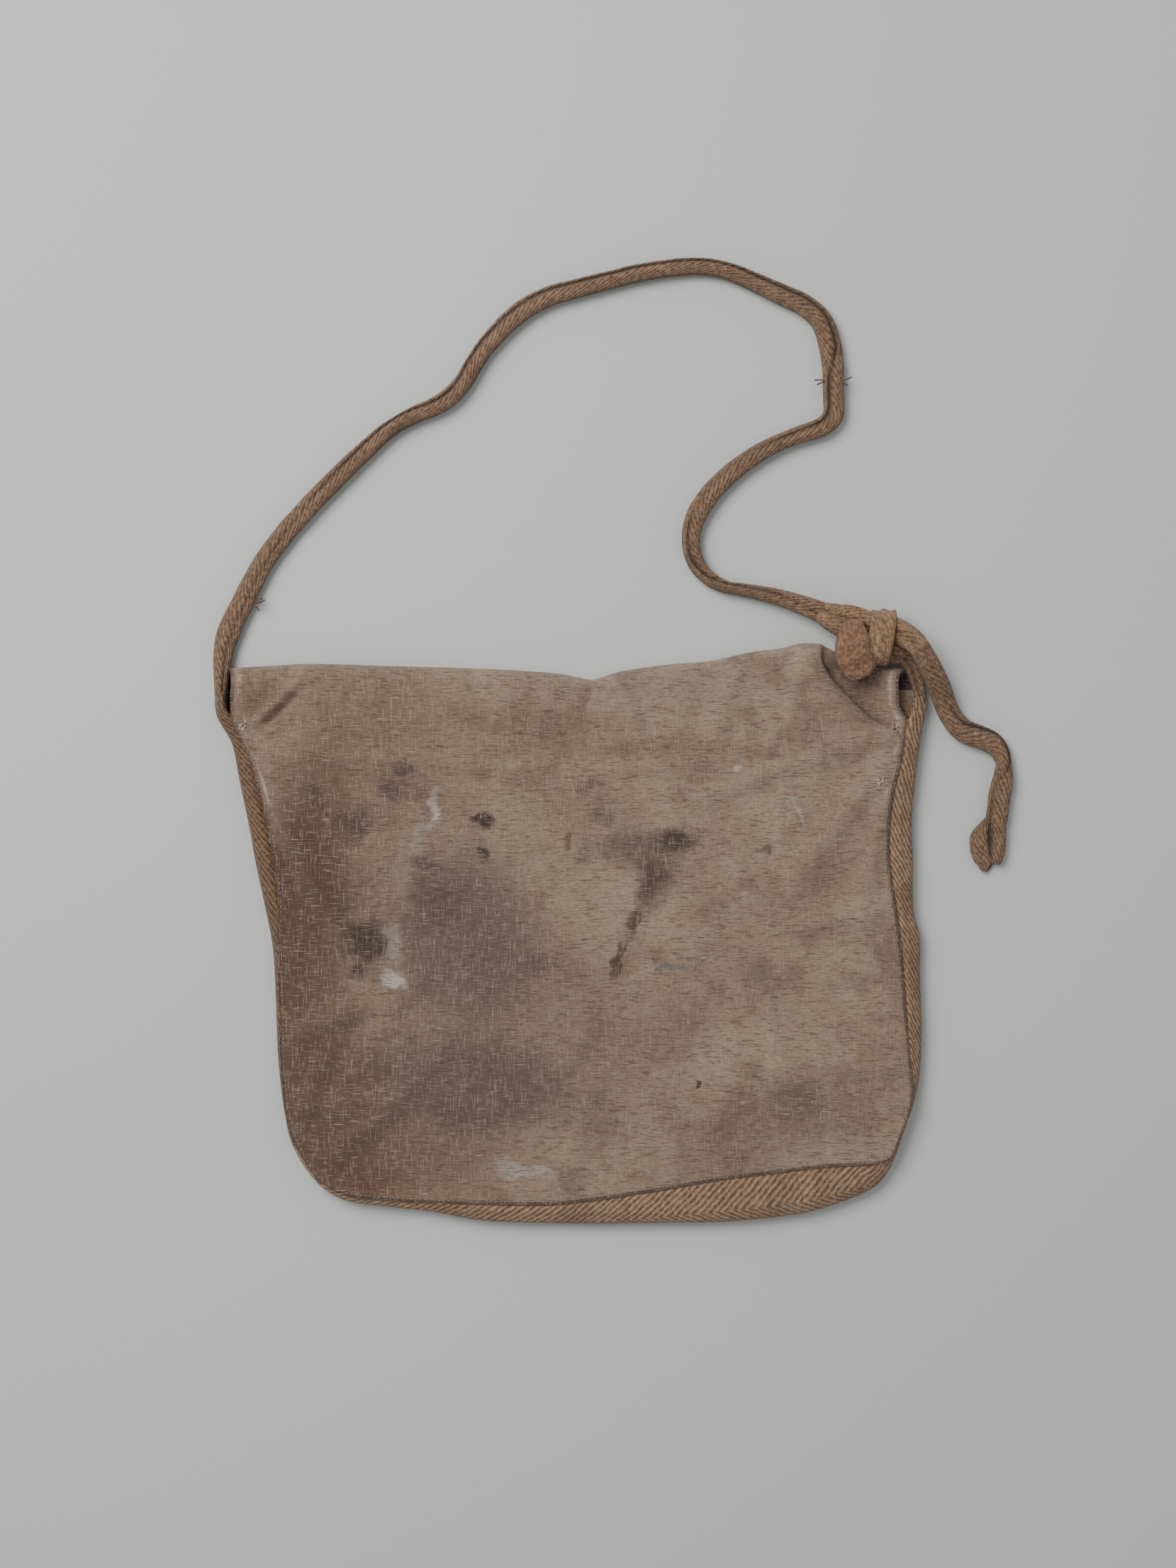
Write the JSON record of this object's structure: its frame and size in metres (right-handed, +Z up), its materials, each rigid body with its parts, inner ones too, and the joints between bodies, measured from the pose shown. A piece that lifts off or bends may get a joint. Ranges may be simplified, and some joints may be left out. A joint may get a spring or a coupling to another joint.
{
  "type": "cloth shoulder bag",
  "caption": "Flat cloth shoulder bag for storing rope: a fold-over flap, a woven tape gusset that runs on as the strap, and a knot in the strap; laid empty, back panel up.",
  "frame": {"origin": "centre of the bag's outline, without its strap, on the face it lies on", "axes": "+X across the bag's width, +Y from the bag's bottom to its mouth and strap, +Z up from the floor, out of the back panel"},
  "size_m": [0.4829, 0.5816, 0.0327],
  "materials": {
    "cloth": "matte, worn plain weave",
    "tape": "matte, woven with slanting ribs",
    "frayed_tape": "matte, frayed fibres",
    "thread": "matte sewing thread"
  },
  "bodies": {
    "root": {"front_panel": "cloth", "gusset_left": "tape", "gusset_bottom": "tape", "gusset_right": "tape", "front_seam_left": "thread", "front_seam_bottom": "thread", "front_seam_right": "thread", "mouth_stitch": "thread"},
    "back": {"back_panel": "cloth", "back_seam_left": "thread", "back_seam_bottom": "thread", "back_seam_right": "thread", "hem_stitch_left": "thread", "hem_stitch_right": "thread", "corner_tack_left": "thread", "corner_tack_right": "thread", "mend_stitch_right": "thread"},
    "flap": {"flap": "cloth", "flap_stitch_left": "thread", "flap_stitch_right": "thread", "flap_stitch_end": "thread"},
    "strap": {"strap_loop": "tape", "knot_entry": "tape", "knot_wrap": "tape", "knot_exit": "tape", "frayed_end": "frayed_tape", "strap_right_leg": "tape"},
    "tail": {"strap_tail": "tape", "tail_end": "tape"}
  },
  "joints": [
    {"name": "flap_open", "type": "hinge", "parent": "back", "child": "flap", "pos_m": [0, 0.1517, 0], "axis": [1, 0, 0], "range_deg": [0, 150]},
    {"name": "mouth_open", "type": "hinge", "parent": "root", "child": "back", "pos_m": [0, -0.1687, 0.0155], "axis": [1, 0, 0], "range_deg": [0, 5]},
    {"name": "strap_lift", "type": "hinge", "parent": "back", "child": "strap", "pos_m": [0, 0.1385, 0.008], "axis": [1, 0, 0], "range_deg": [0, 95]},
    {"name": "tail_swing", "type": "hinge", "parent": "strap", "child": "tail", "pos_m": [0.2065, 0.178, 0.0215], "axis": [1, 0, 0], "range_deg": [-84, 0]}
  ],
  "couplings": [
    {"joint": "mouth_open", "follows": "flap_open", "ratio": 0.0333},
    {"joint": "tail_swing", "follows": "strap_lift", "ratio": -0.88}
  ]
}
